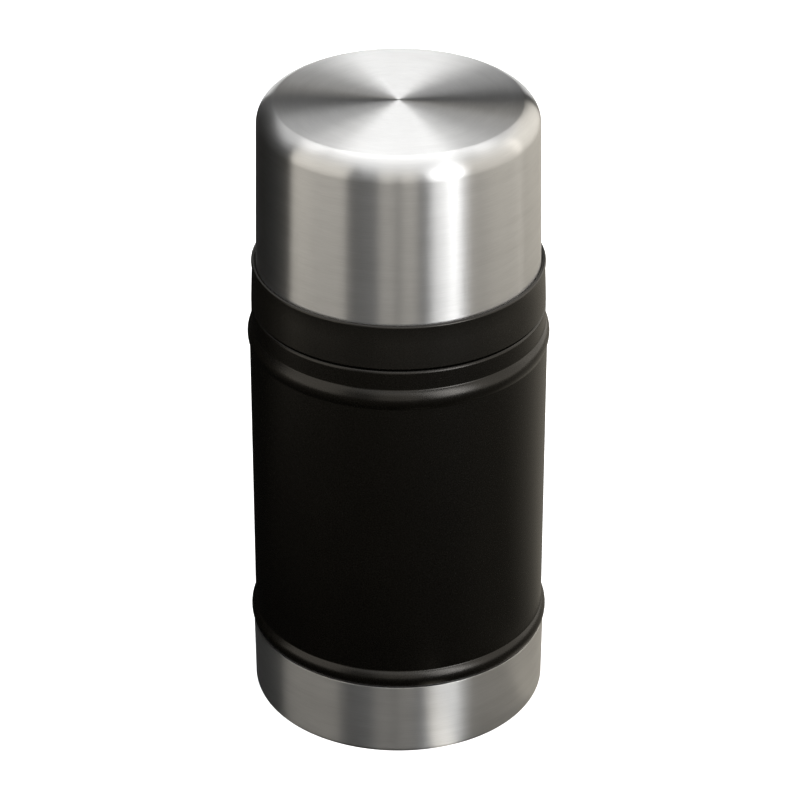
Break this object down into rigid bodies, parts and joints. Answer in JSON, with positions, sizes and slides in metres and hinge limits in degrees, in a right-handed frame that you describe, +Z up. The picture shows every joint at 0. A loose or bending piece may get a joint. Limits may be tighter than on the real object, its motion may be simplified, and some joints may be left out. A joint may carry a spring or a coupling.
{
  "type": "insulated food jar",
  "caption": "Vacuum-insulated food jar: double-walled steel body with rolled beads, a vented screw-in stopper, and a steel cup lid that locks on the neck by a part turn.",
  "frame": {"origin": "centre of the bottom face, on the plane the jar stands on", "axes": "+Z up along the jar's axis, +X to the right and -Y towards the viewer of the picture"},
  "size_m": [0.0976, 0.0976, 0.212],
  "materials": {
    "shell_coating": "matte",
    "vessel_steel": "satin",
    "base_steel": "satin",
    "lid_steel": "satin",
    "bare_steel": "satin",
    "spring_wire": "polished",
    "foil": "polished",
    "getter": "matte",
    "braze": "satin",
    "neck_plastic": "satin",
    "collar_plastic": "satin",
    "stopper_plastic": "satin",
    "grip_plastic": "matte",
    "button_plastic": "satin",
    "seal_rubber": "matte",
    "foam": "matte"
  },
  "bodies": {
    "jar": {"outer_shell": "shell_coating", "inner_vessel": "vessel_steel", "radiation_foil": "foil", "getter_pill": "getter", "getter_clip": "bare_steel", "closing_pan": "bare_steel", "vacuum_plug": "braze", "base_cup": "base_steel", "neck_ring": "neck_plastic"},
    "lid_gasket": {"cup_gasket": "seal_rubber"},
    "lid_core": {"cup_core": "foam"},
    "lid": {"cup_shell": "lid_steel", "cup_liner": "vessel_steel", "cup_collar": "collar_plastic"},
    "stopper_ring": {"stopper_seal": "seal_rubber"},
    "stopper_foam": {"stopper_core": "foam"},
    "stopper": {"stopper_body": "stopper_plastic", "stopper_cap": "grip_plastic", "vent_spring": "spring_wire"},
    "vent": {"vent_button": "button_plastic", "vent_seal": "seal_rubber", "vent_keeper": "stopper_plastic"}
  },
  "joints": [
    {"name": "lid_lift", "type": "slide", "parent": "jar", "child": "lid_gasket", "axis": [0, 0, 1], "range_m": [0, 0.1]},
    {"name": "lid_draw", "type": "slide", "parent": "lid_gasket", "child": "lid_core", "axis": [0, 0, 1], "range_m": [-0.00061, 0]},
    {"name": "lid_turn", "type": "hinge", "parent": "lid_core", "child": "lid", "pos_m": [0, 0, 0.15], "axis": [0, 0, 1], "range_deg": [-50, 0]},
    {"name": "stopper_lift", "type": "slide", "parent": "jar", "child": "stopper_ring", "axis": [0, 0, 1], "range_m": [0, 0.03]},
    {"name": "stopper_draw", "type": "slide", "parent": "stopper_ring", "child": "stopper_foam", "axis": [0, 0, 1], "range_m": [-0.00081, 0]},
    {"name": "stopper_turn", "type": "hinge", "parent": "stopper_foam", "child": "stopper", "pos_m": [0, 0, 0.15], "axis": [0, 0, 1], "range_deg": [-50, 0]},
    {"name": "vent_press", "type": "slide", "parent": "stopper", "child": "vent", "axis": [0, 0, -1], "range_m": [0, 0.002], "stiffness_N_per_m": 300, "springref_m": -0.004, "deforming": ["vent_spring"]}
  ],
  "couplings": [
    {"joint": "lid_draw", "follows": "lid_turn", "m_per_rad": 0.00068755},
    {"joint": "stopper_draw", "follows": "stopper_turn", "m_per_rad": 0.00091673}
  ]
}
